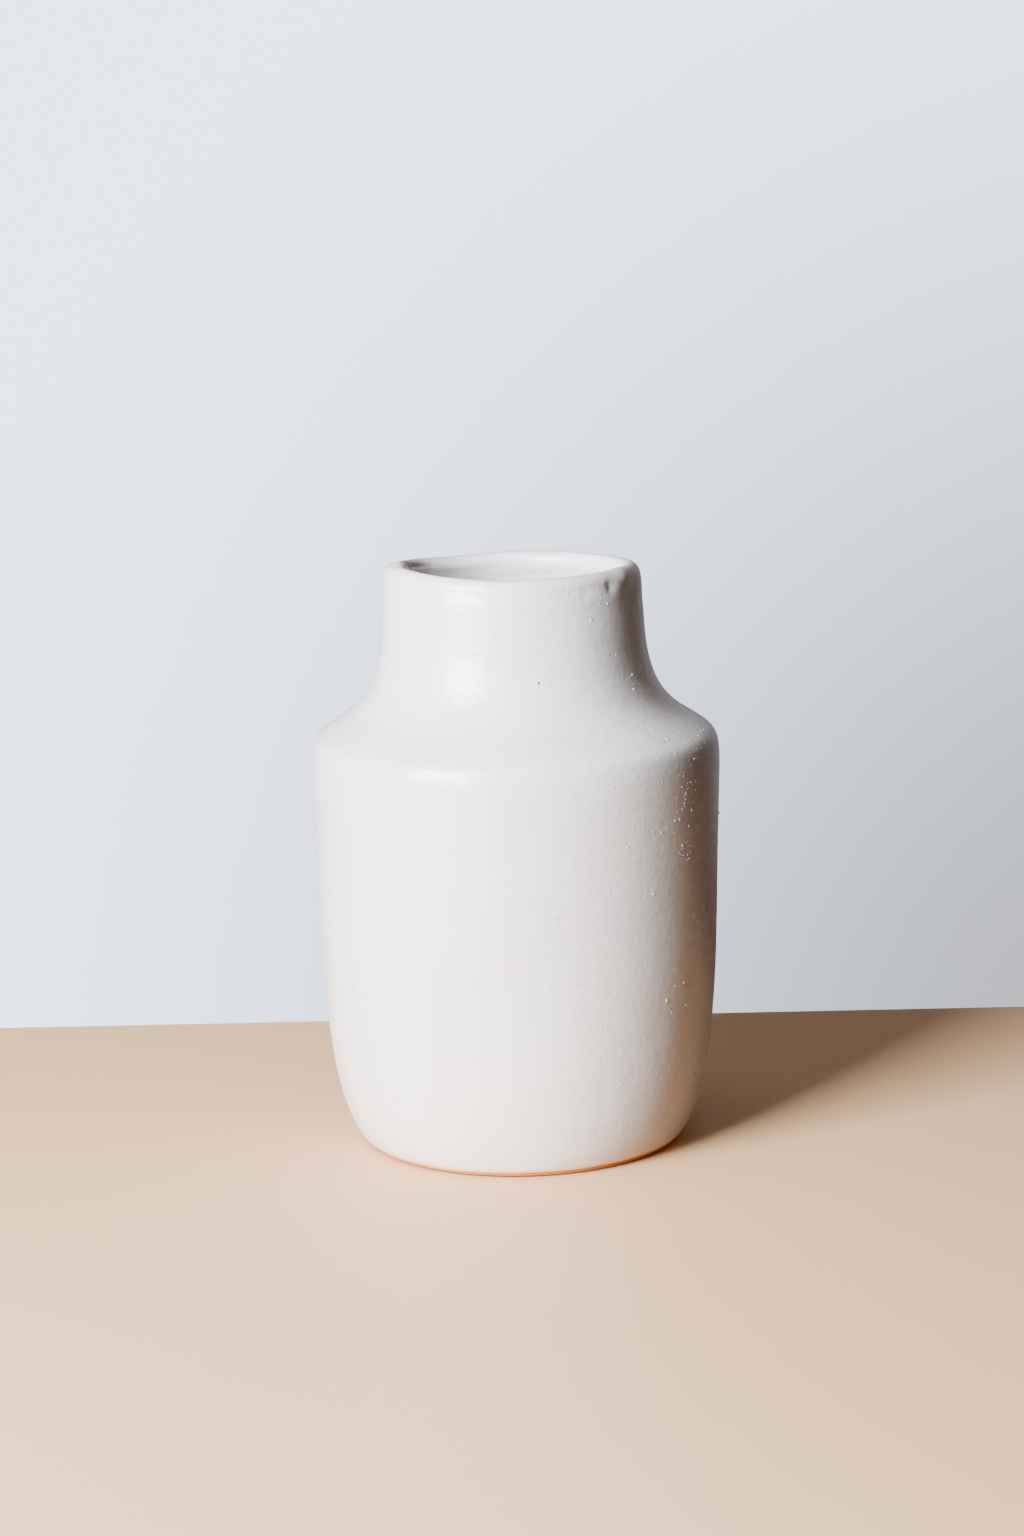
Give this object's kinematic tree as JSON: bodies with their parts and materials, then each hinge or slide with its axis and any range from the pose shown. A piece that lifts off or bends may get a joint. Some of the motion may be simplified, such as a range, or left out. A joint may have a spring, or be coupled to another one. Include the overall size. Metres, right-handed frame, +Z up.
{
  "type": "vase",
  "caption": "Wheel-thrown stoneware vase with a straight body, a rounded shoulder and a wide short neck, in an off-white satin glaze over a bare clay foot.",
  "frame": {"origin": "centre of the foot ring, on the surface that the vase stands on", "axes": "+Z up along the vase's axis, out of the mouth"},
  "size_m": [0.1498, 0.1498, 0.2135],
  "materials": {
    "bare_clay": "bare stoneware toasted orange, matt and slightly gritty",
    "glaze": "off-white satin glaze with fine raised specks"
  },
  "bodies": {
    "root": {"clay_body": "bare_clay", "outer_glaze": "glaze", "liner_glaze": "glaze"}
  },
  "joints": []
}
